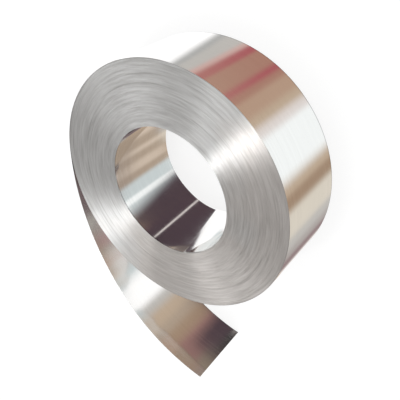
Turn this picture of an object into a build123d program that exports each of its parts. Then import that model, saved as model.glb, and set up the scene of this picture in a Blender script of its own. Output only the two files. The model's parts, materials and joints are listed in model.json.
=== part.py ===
from build123d import *
import math
import os

# A coil of bright cold-rolled steel strip, lying on its end with its bore upright.
# Lengths are in millimetres. Angles are in degrees about the coil's axis.

# The wound strip
BORE_RADIUS = 76.0
OUTER_RADIUS = 148.0
STRIP_WIDTH = 95.0
STRIP_THICKNESS = 0.5

# The laps as they show on the two ends: a fine gap opens after every few laps,
# and on the upper end some groups of laps sit a little lower than the others
LAPS_IN_A_GROUP = 12
LAP_GAP_WIDTH = 0.3
LAP_GAP_DEPTH = 0.4
EDGE_WANDER = 0.5
EDGE_WANDER_WAVES = 5

# The loose outer end, which leaves the coil in two easy bends and stops in a square cut
TAIL_ROOT_ANGLE = 166.3
TAIL_FIRST_BEND_RADIUS = 305.0
TAIL_FIRST_BEND_ANGLE = 44.4
TAIL_SECOND_BEND_RADIUS = 206.5
TAIL_SECOND_BEND_ANGLE = 38.2

# The inner end: the first lap stops in a slanted cut, and the lap behind it
# has sprung back to leave a shallow hollow in the bore
INNER_END_ANGLE = -91.0
INNER_END_SLANT = 12.2
HOLLOW_DEPTH = 1.6
HOLLOW_ANGLE = -98.0
HOLLOW_HALF_SPAN = 42.0


def around(radius, angle):
    """The point at this radius and angle about the coil's axis."""
    turn = math.radians(angle)
    return Vector(radius * math.cos(turn), radius * math.sin(turn))


def lap_section():
    """Outline of the wound laps on one side of the axis."""
    build_up = OUTER_RADIUS - BORE_RADIUS
    groups = max(2, round(build_up / (LAPS_IN_A_GROUP * STRIP_THICKNESS)))
    pitch = build_up / groups
    half_gap = LAP_GAP_WIDTH / 2
    gap_floor = STRIP_WIDTH - EDGE_WANDER - LAP_GAP_DEPTH
    lower, upper = [], []
    for group in range(groups):
        wave = math.tau * EDGE_WANDER_WAVES * group / (groups - 1)
        top = STRIP_WIDTH - EDGE_WANDER * (1 - math.cos(wave)) / 2
        start = BORE_RADIUS + group * pitch
        end = start + pitch
        if group > 0:
            lower.append((start, LAP_GAP_DEPTH))
            upper.append((start, gap_floor))
            start += half_gap
        if group < groups - 1:
            end -= half_gap
        lower += [(start, 0), (end, 0)]
        upper += [(start, top), (end, top)]
    return lower + upper[::-1]


def wound_laps():
    """All the laps that lie tight on each other, turned about the coil's axis."""
    section = make_face(Polyline(*lap_section(), close=True))
    return revolve(Plane.XZ * section, Axis.Z)


def tail_face(inset):
    """The two bends of the loose end, on the face this far in from its outer one."""
    first_radius = TAIL_FIRST_BEND_RADIUS - inset
    second_radius = TAIL_SECOND_BEND_RADIUS - inset
    second_start = TAIL_ROOT_ANGLE + TAIL_FIRST_BEND_ANGLE
    first_centre = around(OUTER_RADIUS - inset - first_radius, TAIL_ROOT_ANGLE)
    second_centre = first_centre + around(first_radius - second_radius, second_start)
    first = CenterArc(first_centre, first_radius, TAIL_ROOT_ANGLE, TAIL_FIRST_BEND_ANGLE)
    second = CenterArc(second_centre, second_radius, second_start, TAIL_SECOND_BEND_ANGLE)
    return first, second


def loose_end():
    """The strip that has come away from the outside of the coil."""
    outer_first, outer_second = tail_face(0)
    inner_first, inner_second = tail_face(STRIP_THICKNESS)
    root = Line(inner_first @ 0, outer_first @ 0)
    tip = Line(outer_second @ 1, inner_second @ 1)
    outline = make_face([root, outer_first, outer_second, tip, inner_second, inner_first])
    return extrude(outline, STRIP_WIDTH)


def hollow():
    """The space in the bore in front of the lap that has sprung back."""
    reach = BORE_RADIUS + HOLLOW_DEPTH
    nearest = BORE_RADIUS * math.cos(math.radians(HOLLOW_HALF_SPAN))
    offset = (reach**2 - BORE_RADIUS**2) / (2 * (reach - nearest))
    return extrude(Pos(around(offset, HOLLOW_ANGLE)) * Circle(reach - offset), STRIP_WIDTH)


def first_lap():
    """The start of the strip, on the bore's own circle, back to its slanted cut."""
    lap = Circle(BORE_RADIUS + STRIP_THICKNESS) - Circle(BORE_RADIUS)
    slant = math.radians(INNER_END_SLANT)
    across = around(math.sin(slant), INNER_END_ANGLE + 90)
    cut = Plane(
        origin=(0, 0, STRIP_WIDTH / 2),
        x_dir=around(1, INNER_END_ANGLE),
        z_dir=across + Vector(0, 0, math.cos(slant)),
    )
    beyond_cut = Box(
        OUTER_RADIUS,
        OUTER_RADIUS,
        2 * STRIP_WIDTH,
        align=(Align.MIN, Align.MIN, Align.CENTER),
    )
    return extrude(lap, STRIP_WIDTH) & (cut * beyond_cut)


def steel_coil():
    """The whole strip: its wound laps, its loose outer end and its inner end."""
    return wound_laps() + loose_end() - (hollow() - first_lap())


os.makedirs("parts", exist_ok=True)
export_step(steel_coil(), "parts/steel_coil.step")
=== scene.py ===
import json
import math

import bpy
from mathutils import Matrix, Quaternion, Vector, noise

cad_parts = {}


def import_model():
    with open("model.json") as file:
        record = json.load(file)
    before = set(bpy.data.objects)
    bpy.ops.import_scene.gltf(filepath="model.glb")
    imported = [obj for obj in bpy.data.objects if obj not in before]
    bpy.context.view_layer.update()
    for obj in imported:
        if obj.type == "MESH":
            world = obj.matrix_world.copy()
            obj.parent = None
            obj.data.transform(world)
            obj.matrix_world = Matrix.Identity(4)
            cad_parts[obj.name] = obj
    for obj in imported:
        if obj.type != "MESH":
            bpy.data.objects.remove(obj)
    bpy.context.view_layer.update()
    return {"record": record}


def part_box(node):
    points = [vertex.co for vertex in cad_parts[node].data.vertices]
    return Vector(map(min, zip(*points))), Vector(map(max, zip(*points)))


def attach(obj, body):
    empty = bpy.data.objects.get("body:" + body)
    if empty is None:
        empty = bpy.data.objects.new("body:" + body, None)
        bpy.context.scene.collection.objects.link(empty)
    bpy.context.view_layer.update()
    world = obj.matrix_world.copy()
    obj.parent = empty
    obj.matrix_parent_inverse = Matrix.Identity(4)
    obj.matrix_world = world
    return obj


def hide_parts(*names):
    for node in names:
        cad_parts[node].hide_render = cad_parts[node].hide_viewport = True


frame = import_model()
scene = bpy.context.scene

# The wound strip: one length of bright cold-rolled steel, slit to width and wound tight
# on a mandrel, so its slit edges make the coil's two ends. Nothing fastens it: the laps
# hold each other, and only the first lap's end and the last arm's length stand free.
MM = 0.001
top_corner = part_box("steel_coil")[1]
strip_width = top_corner.z
outer_radius = top_corner.x
bore = next(mount for mount in frame["record"]["mounts"] if mount["name"] == "bore")
bore_radius = bore["dims"]["r_mm"] * MM
strip_thickness = 0.5 * MM

steps_in_lap = 144
full_laps = 139
step_angle = math.tau / steps_in_lap

# Where the loose end leaves the coil, and its two easy bends
tail_root_angle = math.radians(166.3)
first_bend_radius = 305 * MM
first_bend_angle = math.radians(44.4)
first_bend_steps = 96
second_bend_radius = 206.5 * MM
second_bend_angle = math.radians(38.2)
second_bend_steps = 56

# The first lap's slanted cut, and the hollow where the laps behind it have sprung back
cut_angle_above = math.radians(-83.25)
cut_angle_below = math.radians(-98.75)
free_steps = 24
hollow_depth = 1.6 * MM
hollow_angle = math.radians(-98)
hollow_half_span = math.radians(42)
hollow_fades_over_laps = 80

part_lap_steps = round((tail_root_angle - hollow_angle - hollow_half_span) / step_angle)
wound_steps = full_laps * steps_in_lap + part_lap_steps
winding_start = tail_root_angle - wound_steps * step_angle
start_angle = winding_start % math.tau - math.tau
lap_pitch = (outer_radius - bore_radius - strip_thickness) * steps_in_lap / wound_steps
last_step = wound_steps + first_bend_steps + second_bend_steps


def around(radius, angle):
    return Vector((radius * math.cos(angle), radius * math.sin(angle), 0))


def sprung_radius(angle):
    """How far from the axis the lap behind the first one's end lies at this angle."""
    reach = bore_radius + hollow_depth
    nearest = bore_radius * math.cos(hollow_half_span)
    offset = (reach**2 - bore_radius**2) / (2 * (reach - nearest))
    away = angle - hollow_angle
    across = offset * math.sin(away)
    return offset * math.cos(away) + math.sqrt((reach - offset) ** 2 - across**2)


def wound_radius(step):
    """Radius of the strip's inner face at this step of the winding."""
    lap, step_in_lap = divmod(step, steps_in_lap)
    sprung = sprung_radius(winding_start + step * step_angle)
    sprung -= bore_radius + lap_pitch * step_in_lap / steps_in_lap
    fade = max(0, 1 - lap / hollow_fades_over_laps)
    return bore_radius + lap_pitch * step / steps_in_lap + max(0, sprung) * fade


def loose_end_place(step):
    """Centre, outer radius and angle of the bend at this step of the loose end."""
    first_centre = around(outer_radius - first_bend_radius, tail_root_angle)
    past = step - wound_steps
    if past <= first_bend_steps:
        angle = tail_root_angle + first_bend_angle * past / first_bend_steps
        return first_centre, first_bend_radius, angle
    second_start = tail_root_angle + first_bend_angle
    centre = first_centre + around(first_bend_radius - second_bend_radius, second_start)
    share = (past - first_bend_steps) / second_bend_steps
    return centre, second_bend_radius, second_start + second_bend_angle * share


def strip_faces(step, upper):
    """Points in plan of the strip's inner and outer face, at its upper or lower edge."""
    centre = Vector((0, 0, 0))
    if step < 0:
        cut_angle = cut_angle_above if upper else cut_angle_below
        angle = start_angle + (cut_angle - start_angle) * -step / free_steps
        inner_radius = bore_radius
    elif step <= wound_steps:
        angle = winding_start + step * step_angle
        inner_radius = wound_radius(step)
    else:
        centre, outer, angle = loose_end_place(step)
        inner_radius = outer - strip_thickness
    inner = centre + around(inner_radius, angle)
    return inner, centre + around(inner_radius + strip_thickness, angle)


# The slitter rounds each edge, and the winder leaves some laps lower than their neighbours.
# Each wander has its pace, in changes per lap, and its share in how far the edge drops.
# The upper end's wanders are taken far from the lower end's, so that the two differ.
rounding = 0.05 * MM
largest_drop = 0.3 * MM
usual_share = 0.4
lone_laps = (1.9, 0.5)
groups_of_laps = (0.37, 0.6)
slow_drift = (0.09, 0.6)
change_round_lap = 0.6
upper_end_apart = 40


def edge_drop(step, upper):
    """How far short of flush the strip's edge stands at this step of the winding."""
    laps = step / steps_in_lap
    way = around(change_round_lap, winding_start + step * step_angle)
    drop = usual_share
    for pace, share in (lone_laps, groups_of_laps, slow_drift):
        drop += share * noise.noise((laps * pace + upper_end_apart * upper, way.x, way.y))
    before_last_lap = min(1, max(0, (wound_steps - step) / steps_in_lap))
    return largest_drop * min(1, max(0, drop)) * before_last_lap


points, faces, finishes, point_numbers = [], [], [], {}
ROLLED, SLIT = 0, 1


def add_point(line, step, upper, plan, drop):
    point_numbers[line, step, upper] = len(points)
    points.append((plan.x, plan.y, strip_width - drop if upper else drop))


def point_on(line, step, upper):
    """The point on this line of the strip. Laps that touch share the line between them."""
    if line == "outer" and 0 <= step <= wound_steps - steps_in_lap:
        return point_numbers["inner", step + steps_in_lap, upper]
    return point_numbers[line, step, upper]


def add_face(finish, *corners):
    faces.append([point_on(*corner) for corner in corners])
    finishes.append(finish)


for step in range(-free_steps, last_step + 1):
    for upper in (False, True):
        inner, outer = strip_faces(step, upper)
        drop = deepest = edge_drop(step, upper)
        if steps_in_lap <= step <= wound_steps:
            deepest = max(drop, edge_drop(step - steps_in_lap, upper))
        add_point("inner", step, upper, inner, deepest + rounding)
        add_point("crest", step, upper, (inner + outer) / 2, drop)
        if step < 0 or step > wound_steps - steps_in_lap:
            add_point("outer", step, upper, outer, drop + rounding)

for step in range(-free_steps, last_step):
    ahead = step + 1
    for upper in (False, True):
        for near, far in (("inner", "crest"), ("crest", "outer")):
            add_face(SLIT, (near, step, upper), (far, step, upper),
                     (far, ahead, upper), (near, ahead, upper))
    bare_inside = step < steps_in_lap or step >= wound_steps
    bare_outside = step < 0 or step >= wound_steps - steps_in_lap
    for line, bare in (("inner", bare_inside), ("outer", bare_outside)):
        if bare:
            add_face(ROLLED, (line, step, False), (line, ahead, False),
                     (line, ahead, True), (line, step, True))
for step in (-free_steps, last_step):
    add_face(SLIT, ("inner", step, False), ("crest", step, False), ("outer", step, False),
             ("outer", step, True), ("crest", step, True), ("inner", step, True))

strip_mesh = bpy.data.meshes.new("wound_strip")
strip_mesh.from_pydata(points, [], faces)
strip_mesh.polygons.foreach_set("material_index", finishes)
strip_mesh.polygons.foreach_set("use_smooth", [finish == ROLLED for finish in finishes])
wound_strip = bpy.data.objects.new("wound_strip", strip_mesh)
scene.collection.objects.link(wound_strip)
bpy.context.view_layer.objects.active = wound_strip
bpy.ops.object.mode_set(mode="EDIT")
bpy.ops.mesh.select_all(action="SELECT")
bpy.ops.mesh.normals_make_consistent(inside=False)
bpy.ops.object.mode_set(mode="OBJECT")
corner_angle = math.radians(50)
strip_mesh.set_sharp_from_angle(angle=corner_angle)


def add_node(tree, kind, **settings):
    made = tree.nodes.new(kind)
    for name, value in settings.items():
        setattr(made, name, value)
    return made


def feed(tree, source, socket):
    """Joins a socket to this one, or gives it a plain value."""
    if isinstance(source, bpy.types.NodeSocket):
        tree.links.new(source, socket)
    else:
        socket.default_value = source


def maths(tree, operation, *sources):
    made = add_node(tree, "ShaderNodeMath", operation=operation)
    for source, socket in zip(sources, made.inputs):
        feed(tree, source, socket)
    return made.outputs[0]


def blend(tree, share, first, second):
    made = add_node(tree, "ShaderNodeMix", data_type="RGBA")
    for source, socket in ((share, 0), (first, 6), (second, 7)):
        feed(tree, source, made.inputs[socket])
    return made.outputs[2]


def stretch(tree, value, low, high, lowest, highest):
    """Takes a value from one range to another."""
    made = add_node(tree, "ShaderNodeMapRange")
    for source, socket in zip((value, low, high, lowest, highest), made.inputs):
        feed(tree, source, socket)
    return made.outputs[0]


def new_finish(name):
    finish = bpy.data.materials.new(name)
    finish.use_nodes = True
    strip_mesh.materials.append(finish)
    return finish.node_tree, finish.node_tree.nodes["Principled BSDF"]


# Fine lines that run along the strip, and how they break off and start again. Most of the
# grain lies between these two strengths.
faintest_line = 0.3
strongest_line = 0.7
strip_lines = bpy.data.node_groups.new("strip_lines", "ShaderNodeTree")
sockets = strip_lines.interface
for name in ("Across", "Lines per Metre", "Breaks"):
    sockets.new_socket(name, in_out="INPUT", socket_type="NodeSocketFloat")
sockets.new_socket("Lines", in_out="OUTPUT", socket_type="NodeSocketFloat")
given = add_node(strip_lines, "NodeGroupInput")
place = add_node(strip_lines, "ShaderNodeTexCoord")
flat = add_node(strip_lines, "ShaderNodeVectorMath", operation="MULTIPLY")
strip_lines.links.new(place.outputs["Object"], flat.inputs[0])
flat.inputs[1].default_value = (1, 1, 0)
way = add_node(strip_lines, "ShaderNodeVectorMath", operation="NORMALIZE")
strip_lines.links.new(flat.outputs[0], way.inputs[0])
parts = add_node(strip_lines, "ShaderNodeSeparateXYZ")
strip_lines.links.new(way.outputs[0], parts.inputs[0])
spread = add_node(strip_lines, "ShaderNodeCombineXYZ")
for axis in ("X", "Y"):
    broken = maths(strip_lines, "MULTIPLY", parts.outputs[axis], given.outputs["Breaks"])
    feed(strip_lines, broken, spread.inputs[axis])
across = maths(strip_lines, "MULTIPLY", given.outputs["Across"], given.outputs["Lines per Metre"])
feed(strip_lines, across, spread.inputs["Z"])
grain = add_node(strip_lines, "ShaderNodeTexNoise")
grain.inputs["Scale"].default_value = 1
grain.inputs["Detail"].default_value = 4
grain.inputs["Roughness"].default_value = 0.62
strip_lines.links.new(spread.outputs[0], grain.inputs["Vector"])
result = add_node(strip_lines, "NodeGroupOutput")
strip_lines.links.new(grain.outputs[0], result.inputs["Lines"])


def lines_along_strip(tree, across, lines_per_metre, breaks):
    made = add_node(tree, "ShaderNodeGroup", node_tree=strip_lines)
    feed(tree, across, made.inputs["Across"])
    feed(tree, lines_per_metre, made.inputs["Lines per Metre"])
    feed(tree, breaks, made.inputs["Breaks"])
    return made.outputs["Lines"]


def position(tree):
    """The place on the coil, its height above the floor and its distance from the axis."""
    place = add_node(tree, "ShaderNodeTexCoord")
    parts = add_node(tree, "ShaderNodeSeparateXYZ")
    tree.links.new(place.outputs["Object"], parts.inputs[0])
    x_squared = maths(tree, "POWER", parts.outputs["X"], 2.0)
    y_squared = maths(tree, "POWER", parts.outputs["Y"], 2.0)
    radius = maths(tree, "SQRT", maths(tree, "ADD", x_squared, y_squared))
    return place.outputs["Object"], parts.outputs["Z"], radius


# The rolled face, bright from the temper mill, with faint lines from the rolls. Painted shade
# darkens a thin band along its lower rim on the outside of the coil, and its upper rim in the bore.
face_between_lines = (0.80, 0.79, 0.78, 1)
face_on_lines = (0.86, 0.85, 0.84, 1)
# The tone of the painted shade along the rims
painted_rim_shade_tone = (0.16, 0.15, 0.16, 1)
smoothest_face = 0.06
roughest_face = 0.11
buckle_depth = 0.25 * MM
buckles_per_metre = 32
upright_buckles = (1, 1, 0.03)
line_relief = 0.001
tree, shader = new_finish("rolled_face")
place, height, radius = position(tree)
lines = lines_along_strip(tree, height, lines_per_metre=900.0, breaks=1.5)
on_line = stretch(tree, lines, faintest_line, strongest_line, 0.0, 1.0)
steel = blend(tree, on_line, face_between_lines, face_on_lines)
past_bore_wall = 90 * MM
short_of_outer_wall = 120 * MM
in_bore = stretch(tree, radius, past_bore_wall, short_of_outer_wall, 1.0, 0.0)
up_to_down = maths(tree, "MULTIPLY_ADD", height, -2.0, strip_width)
from_rim = maths(tree, "MULTIPLY_ADD", in_bore, up_to_down, height)
# Painted shade: a dark band along the outer wall's lower rim and the bore's upper rim
painted_rim_shade = stretch(tree, from_rim, 0.4 * MM, 1.6 * MM, 0.7, 0.0)
tree.links.new(blend(tree, painted_rim_shade, steel, painted_rim_shade_tone), shader.inputs["Base Color"])
shader.inputs["Metallic"].default_value = 1
roughness = stretch(tree, lines, faintest_line, strongest_line, smoothest_face, roughest_face)
tree.links.new(roughness, shader.inputs["Roughness"])
upright = add_node(tree, "ShaderNodeVectorMath", operation="MULTIPLY")
tree.links.new(place, upright.inputs[0])
upright.inputs[1].default_value = upright_buckles
waves = add_node(tree, "ShaderNodeTexNoise")
tree.links.new(upright.outputs[0], waves.inputs["Vector"])
waves.inputs["Scale"].default_value = buckles_per_metre
waves.inputs["Detail"].default_value = 1
relief = maths(tree, "MULTIPLY_ADD", lines, line_relief, waves.outputs[0])
uneven = add_node(tree, "ShaderNodeBump")
uneven.inputs["Strength"].default_value = 1
uneven.inputs["Distance"].default_value = buckle_depth
tree.links.new(relief, uneven.inputs["Height"])
tree.links.new(uneven.outputs[0], shader.inputs["Normal"])

# The slit edges, dull and sheared, each with a catch of light along its lap. Darker scores
# mark the coil's ends, with painted shade along the outer rim, and a painted reflection tint that
# is warmer on one side than the other.
edge_between_lines = (0.70, 0.69, 0.68, 1)
edge_on_lines = (0.87, 0.865, 0.86, 1)
score_tone = (0.46, 0.45, 0.44, 1)
outer_rim_shade_tone = (0.20, 0.18, 0.18, 1)
warm_tint = (1.0, 0.972, 0.95, 1)
cool_tint = (0.98, 0.995, 1.0, 1)
duller_edge = 0.44
brighter_edge = 0.34
shear_depth = 0.03 * MM
tree, shader = new_finish("slit_edge")
place, _, radius = position(tree)
lines = lines_along_strip(tree, radius, lines_per_metre=420.0, breaks=3.4)
on_line = stretch(tree, lines, 0.32, 0.68, 0.0, 1.0)
steel = blend(tree, on_line, edge_between_lines, edge_on_lines)
scores = lines_along_strip(tree, radius, lines_per_metre=230.0, breaks=1.1)
steel = blend(tree, stretch(tree, scores, 0.42, 0.30, 0.0, 0.5), steel, score_tone)
# Painted shade: the edges darker in a thin ring along the outer rim
from_rim = maths(tree, "ABSOLUTE", maths(tree, "SUBTRACT", radius, outer_radius - 0.3 * MM))
painted_outer_rim_shade = stretch(tree, from_rim, 0.3 * MM, 1.2 * MM, 0.3, 0.0)
steel = blend(tree, painted_outer_rim_shade, steel, outer_rim_shade_tone)
# Painted reflection tint: the edges' colour warmer on one side of the coil and cooler on the other
cloud = add_node(tree, "ShaderNodeTexNoise")
tree.links.new(place, cloud.inputs["Vector"])
cloud.inputs["Scale"].default_value = 9
cloud.inputs["Detail"].default_value = 2
sides = add_node(tree, "ShaderNodeSeparateXYZ")
tree.links.new(place, sides.inputs[0])
drift = maths(tree, "MULTIPLY_ADD", sides.outputs["Y"], 2.5, cloud.outputs[0])
drift = maths(tree, "MULTIPLY_ADD", sides.outputs["X"], -1.6, drift)
tint = blend(tree, stretch(tree, drift, 0.3, 0.52, 0.0, 1.0), warm_tint, cool_tint)
reflection_tint_applied = add_node(tree, "ShaderNodeMix", data_type="RGBA", blend_type="MULTIPLY")
reflection_tint_applied.inputs[0].default_value = 1
tree.links.new(steel, reflection_tint_applied.inputs[6])
tree.links.new(tint, reflection_tint_applied.inputs[7])
tree.links.new(reflection_tint_applied.outputs[2], shader.inputs["Base Color"])
shader.inputs["Metallic"].default_value = 1
roughness = stretch(tree, lines, faintest_line, strongest_line, duller_edge, brighter_edge)
tree.links.new(roughness, shader.inputs["Roughness"])
shader.inputs["Anisotropic"].default_value = 1
tree.links.new(place, shader.inputs["Tangent"])
sheared = add_node(tree, "ShaderNodeBump")
sheared.inputs["Strength"].default_value = 1
sheared.inputs["Distance"].default_value = shear_depth
tree.links.new(lines, sheared.inputs["Height"])
tree.links.new(sheared.outputs[0], shader.inputs["Normal"])

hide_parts("steel_coil")
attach(wound_strip, "root")

# The floor: a wide sheet of card, grey in itself and lit to look white to the camera, so
# that the coil's shadow on it stays faint. The polished steel doesn't mirror it, and the
# walls show only the surroundings below.
floor_half = 6
card_grey = (0.3, 0.3, 0.3, 1)
lit_for_camera = 0.76
floor_mesh = bpy.data.meshes.new("floor")
floor_mesh.from_pydata([(x * floor_half, y * floor_half, 0) for x, y in
                        ((-1, -1), (1, -1), (1, 1), (-1, 1))], [], [(0, 1, 2, 3)])
floor = bpy.data.objects.new("floor", floor_mesh)
scene.collection.objects.link(floor)
floor.visible_glossy = False
card = bpy.data.materials.new("white_card")
card.use_nodes = True
floor_mesh.materials.append(card)
tree = card.node_tree
shader = tree.nodes["Principled BSDF"]
shader.inputs["Base Color"].default_value = card_grey
shader.inputs["Roughness"].default_value = 0.9
shader.inputs["Specular IOR Level"].default_value = 0.1
shader.inputs["Emission Color"].default_value = (1, 1, 1, 1)
seen_by = add_node(tree, "ShaderNodeLightPath")
glow = maths(tree, "MULTIPLY", seen_by.outputs["Is Camera Ray"], lit_for_camera)
feed(tree, glow, shader.inputs["Emission Strength"])

# The surroundings: a bright workshop, seen only as it is mirrored in the steel. Each list
# gives bands of colour by their compass angle, for what is seen at one steepness.
WHITE = (1.25, 1.25, 1.25)
MILK = (1.08, 1.12, 1.12)
SKY = (0.68, 0.75, 0.76)
BLUSH = (0.86, 0.80, 0.77)
ROSE = (0.70, 0.48, 0.44)
BEIGE = (0.80, 0.74, 0.64)
STRAW = (0.72, 0.60, 0.49)
SAND = (0.60, 0.47, 0.35)
CLAY = (0.50, 0.40, 0.31)
TAN = (0.54, 0.37, 0.27)
UMBER = (0.37, 0.30, 0.25)
BROWN = (0.42, 0.30, 0.21)
RUST = (0.46, 0.25, 0.19)
RED = (0.46, 0.125, 0.14)
GREY = (0.60, 0.58, 0.55)
SLATE = (0.50, 0.50, 0.49)
PEWTER = (0.48, 0.44, 0.42)
MAUVE = (0.33, 0.25, 0.25)
DUSK = (0.26, 0.20, 0.21)
HEATHER = (0.54, 0.38, 0.38)
MAHOGANY = (0.35, 0.20, 0.18)
OLIVE = (0.31, 0.25, 0.19)
PALE = (0.95, 0.95, 0.94)
PEARL = (1.04, 1.03, 1.02)
ASH = (0.42, 0.41, 0.40)
SHADE = (0.26, 0.25, 0.24)
PLUM = (0.087, 0.060, 0.072)
INK = (0.035, 0.035, 0.035)
OVERHEAD = (0.47, 0.457, 0.447)

steepest_bands = [
    (-127, WHITE), (-118, BLUSH), (-106, MAUVE), (-101, MAUVE), (-91, PEWTER), (-78, GREY),
    (-64, BEIGE), (-51, BEIGE), (-40, BROWN), (-36, BROWN), (-27, SAND), (-12, MILK), (20, MILK),
    (29, BLUSH), (39, SAND), (49, TAN), (58, TAN), (65, RUST), (72, RED), (80, RUST), (87, RUST),
    (94, RUST), (99, RED), (103, RED), (109, ROSE), (115, GREY), (122, GREY), (129, SLATE),
    (142, WHITE),
]
middle_bands = [
    (-178, SKY), (-155, GREY), (-132, SAND), (-103, STRAW), (-84, CLAY), (-76, CLAY),
    (-64, STRAW), (-54, CLAY), (-49, CLAY), (-38, STRAW), (-33, STRAW), (-25, CLAY), (-20, CLAY),
    (-10, SKY), (4, SKY), (9, MILK), (14, MILK), (20, SKY), (100, SKY), (140, WHITE),
    (165, WHITE), (177, SKY),
]
shallow_bands = [
    (-45, WHITE), (-25, PEWTER), (-9, MAUVE), (-6, MAUVE), (1, GREY), (7, SKY), (13, WHITE),
    (21, WHITE), (29, GREY), (37, SAND), (45, CLAY), (54, BROWN), (62, MAHOGANY),
    (69, MAHOGANY), (78, OLIVE), (110, OLIVE), (130, WHITE),
]
level_bands = [
    (-175, PALE), (-152, PALE), (-130, PEARL), (-118, ASH), (-104, PALE), (-88, PALE), (-70, ASH),
    (-20, ASH), (5, SHADE), (42, SHADE), (62, ASH), (78, PALE), (90, PALE), (104, ASH),
    (124, ASH), (140, PEARL), (166, PEARL),
]

# What the walls show of each other, where the light has met the steel twice
loose_end_bands = [
    (-150, PEWTER), (-137, PEWTER), (-122, DUSK), (-105, MAUVE), (-90, PEWTER), (-81, PEWTER),
    (-70, HEATHER), (-65, HEATHER), (-57, GREY), (-46, BLUSH), (-33, PALE), (-5, PALE), (60, WHITE),
]
tail_edge_bands = [
    (-72, UMBER), (-62, BROWN), (-53, BROWN), (-43, TAN), (-33, CLAY), (-23, STRAW), (-8, SKY),
    (60, WHITE),
]
bore_bands = [
    (-178, SKY), (-150, SAND), (-93, SAND), (-50, CLAY), (21, CLAY), (34, UMBER), (64, UMBER),
    (71, CLAY), (78, WHITE), (96, MILK), (130, MILK), (165, SKY),
]

studio = bpy.data.worlds.new("studio")
studio.use_nodes = True
scene.world = studio
tree = studio.node_tree
tree.nodes.clear()
seen_by = add_node(tree, "ShaderNodeLightPath")
direction = add_node(tree, "ShaderNodeTexCoord")
parts = add_node(tree, "ShaderNodeSeparateXYZ")
tree.links.new(direction.outputs["Generated"], parts.inputs[0])
compass = maths(tree, "DEGREES", maths(tree, "ARCTAN2", parts.outputs["Y"], parts.outputs["X"]))
downward = maths(tree, "MULTIPLY", parts.outputs["Z"], -1.0)
steepness = maths(tree, "DEGREES", maths(tree, "ARCSINE", downward))


def band_colours(bands, bearing):
    """A ramp round the compass, eased from each colour to the next."""
    ramp = add_node(tree, "ShaderNodeValToRGB")
    feed(tree, stretch(tree, bearing, -180, 180, 0.0, 1.0), ramp.inputs[0])
    ramp.color_ramp.interpolation = "EASE"
    stops = ramp.color_ramp.elements
    while len(stops) < len(bands):
        stops.new(1)
    for stop, (angle, tone) in zip(stops, bands):
        stop.position = (angle + 180) / 360
        stop.color = (*tone, 1)
    return ramp.outputs[0]


def past(value, edge, softness):
    """Nought before an edge and one after it, eased over this much each side."""
    made = add_node(tree, "ShaderNodeMapRange", interpolation_type="SMOOTHSTEP")
    for source, socket in zip((value, edge - softness, edge + softness, 0.0, 1.0), made.inputs):
        feed(tree, source, socket)
    return made.outputs[0]


def before(value, edge, softness):
    """One before an edge and nought after it."""
    return maths(tree, "SUBTRACT", 1.0, past(value, edge, softness))


def both(first, second):
    return maths(tree, "MULTIPLY", first, second)


def between(value, start, start_softness, end, end_softness):
    return both(past(value, start, start_softness), before(value, end, end_softness))


def plus(value, amount, other):
    """A value with so much of another added to it."""
    return maths(tree, "MULTIPLY_ADD", other, amount, value)


# The middle list, as the bore mirrors it: a dark doorway, a slot of light beside it, and
# shade under the rim. Edges of compass and steepness, and their softness, are in degrees.
leaning = plus(compass, 3.0, steepness)
beside_cut = plus(compass, 5.57, steepness)
dark_doorway = both(past(leaning, 140.5, 14), before(beside_cut, 362.7, 0.6))
slot_side = between(plus(compass, 0.6, steepness), 101.1, 0.8, 104.3, 1.3)
light_slot = both(past(steepness, 36.3, 0.2), slot_side)
shaded_side = stretch(tree, compass, -18, -8, 0.65, 0.0)
under_rim = both(before(plus(steepness, 0.0275, compass), 37.7, 1.2), shaded_side)
middle = blend(tree, under_rim, band_colours(middle_bands, compass), (*UMBER, 1))
middle = blend(tree, dark_doorway, middle, (*PLUM, 1))
middle = blend(tree, light_slot, middle, (*BLUSH, 1))

# The shallow list, as the loose end mirrors it, with its dark far corner
dark_chest = both(between(compass, 64, 5, 114, 6), past(steepness, 32.4, 1))
shallow = blend(tree, dark_chest, band_colours(shallow_bands, compass), (*PLUM, 1))
far_corner = both(between(compass, 78, 3, 122, 5), past(steepness, 33.6, 1.2))
shallow = blend(tree, far_corner, shallow, (*INK, 1))

# The steepest list, as the outer wall mirrors it. Its red fades upward, and its bands past
# compass 125 lean.
worn_red = both(between(compass, 66, 4, 107, 3), stretch(tree, steepness, 50, 55, 0.25, 0.0))
aslant = both(past(compass, 125, 10), plus(100.0, -2.0, steepness))
steepest = band_colours(steepest_bands, maths(tree, "ADD", compass, aslant))
steepest = blend(tree, worn_red, steepest, (*SAND, 1))

# How far down each list reaches. The bore's starts a little early under its lower rim and
# a little late beside the loose end's corner. The outer wall's starts latest from compass
# 20 to 156.
boreward = plus(steepness, -0.4, past(compass, 74, 8))
boreward = plus(boreward, 0.3, between(compass, 8, 6, 49, 4))
floorward = plus(steepness, -2.0, past(compass, 10, 10))
floorward = plus(floorward, 3.0, past(compass, 163, 7))
floorward = plus(floorward, -1.0, past(compass, -166, 8))
seen_level = band_colours(level_bands, compass)
mirrored = blend(tree, past(steepness, -6, 8), (*OVERHEAD, 1), seen_level)
mirrored = blend(tree, past(steepness, 26, 3), mirrored, shallow)
mirrored = blend(tree, past(boreward, 35.85, 0.08), mirrored, middle)
mirrored = blend(tree, past(floorward, 42.2, 0.4), mirrored, steepest)

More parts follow.
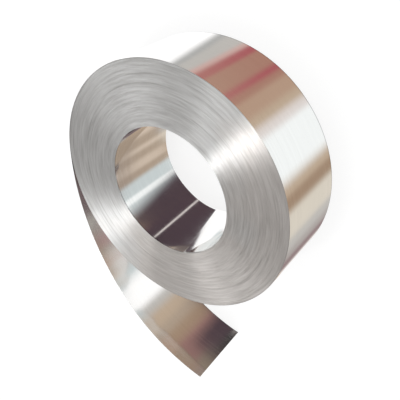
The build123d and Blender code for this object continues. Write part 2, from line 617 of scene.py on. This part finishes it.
# What is seen at the second and third meeting with the steel: the loose end, the strip of
# it along its upper edge, and the bore with the doorway's dark in it
bounces = seen_by.outputs["Glossy Depth"]
behind_edge = past(plus(steepness, 0.0085, compass), 31.14, 0.2)
from_tail = blend(tree, behind_edge, band_colours(tail_edge_bands, compass),
                  band_colours(loose_end_bands, compass))
beside_doorway = before(plus(compass, 8.1, steepness), 389, 0.8)
dark_in_bore = both(past(steepness, 37.62, 0.04), beside_doorway)
dark_in_bore = both(between(compass, 34, 4, 84, 1), dark_in_bore)
from_bore = blend(tree, dark_in_bore, band_colours(bore_bands, compass), (*PLUM, 1))
twice = blend(tree, past(steepness, 35.9, 0.3), from_tail, from_bore)
thrice = both(past(bounces, 2.5, 0.1), maths(tree, "LESS_THAN", compass, 0.0))
deep_in = blend(tree, past(compass, -45, 8), (*DUSK, 1), (*GREY, 1))
twice = blend(tree, thrice, twice, deep_in)
twice_share = both(past(steepness, 20, 5), past(bounces, 1.5, 0.1))
mirrored = blend(tree, twice_share, mirrored, twice)

# The steel mirrors the surroundings, plain daylight falls on what isn't polished, and the
# camera sees a blank backdrop
daylight = 0.85
blank_white = 1
open_air = add_node(tree, "ShaderNodeBackground")
surroundings = add_node(tree, "ShaderNodeBackground")
tree.links.new(mirrored, surroundings.inputs["Color"])
backdrop = add_node(tree, "ShaderNodeBackground")
for lit, strength in ((open_air, daylight), (backdrop, blank_white)):
    lit.inputs["Color"].default_value = (1, 1, 1, 1)
    lit.inputs["Strength"].default_value = strength
in_steel = add_node(tree, "ShaderNodeMixShader")
tree.links.new(seen_by.outputs["Is Glossy Ray"], in_steel.inputs[0])
tree.links.new(open_air.outputs[0], in_steel.inputs[1])
tree.links.new(surroundings.outputs[0], in_steel.inputs[2])
to_camera = add_node(tree, "ShaderNodeMixShader")
tree.links.new(seen_by.outputs["Is Camera Ray"], to_camera.inputs[0])
tree.links.new(in_steel.outputs[0], to_camera.inputs[1])
tree.links.new(backdrop.outputs[0], to_camera.inputs[2])
out = add_node(tree, "ShaderNodeOutputWorld")
tree.links.new(to_camera.outputs[0], out.inputs["Surface"])

# The lamps: a long tube and a soft panel overhead, which draw the fans of light across the
# coil's face, and four windows on the far side, which fill in between them.
lamp_distance = 1.8


def hang_lamp(name, compass_angle, elevation, width, length, power):
    """A soft panel this far round and up, turned to face the coil."""
    level, rise = math.radians(compass_angle), math.radians(elevation)
    way = around(math.cos(rise), level) + Vector((0, 0, math.sin(rise)))
    light = bpy.data.lights.new(name, "AREA")
    light.shape = "RECTANGLE"
    light.size, light.size_y = width, length
    light.energy = power
    lamp = bpy.data.objects.new(name, light)
    lamp.location = way * lamp_distance
    lamp.rotation_mode = "QUATERNION"
    lamp.rotation_quaternion = (-way).to_track_quat("-Z", "Y")
    scene.collection.objects.link(lamp)


hang_lamp("overhead_tube", -137, 76, 0.15, 0.6, 3.35)
hang_lamp("side_panel", 112, 74, 0.4, 0.5, 1.8)
hang_lamp("high_window", -178, 45.5, 0.35, 0.4, 0.75)
hang_lamp("upper_window", -179, 60, 0.4, 0.4, 0.45)
hang_lamp("low_window", -115, 25, 0.4, 0.5, 0.9)
hang_lamp("far_window", -99, 28, 0.5, 0.5, 0.8)

# The camera: it looks down on the coil's upper end, turned about its own line of sight,
# because the photograph shows the coil as if it stood on its rim.
camera_place = Vector((0.37406, 0.27247, 0.48820))
camera_aim = Vector((0.00378, -0.03385, 0.0475))
camera_roll = math.radians(-128.66)
focal_length = 50.34
sensor_width = 36
nearest_seen = 0.01
lens = bpy.data.cameras.new("camera")
lens.sensor_width = sensor_width
lens.lens = focal_length
lens.clip_start = nearest_seen
camera = bpy.data.objects.new("camera", lens)
camera.location = camera_place
camera.rotation_mode = "QUATERNION"
level = (camera_aim - camera_place).to_track_quat("-Z", "Y")
camera.rotation_quaternion = level @ Quaternion((0, 0, 1), camera_roll)
scene.collection.objects.link(camera)
scene.camera = camera
scene.view_settings.view_transform = "Standard"
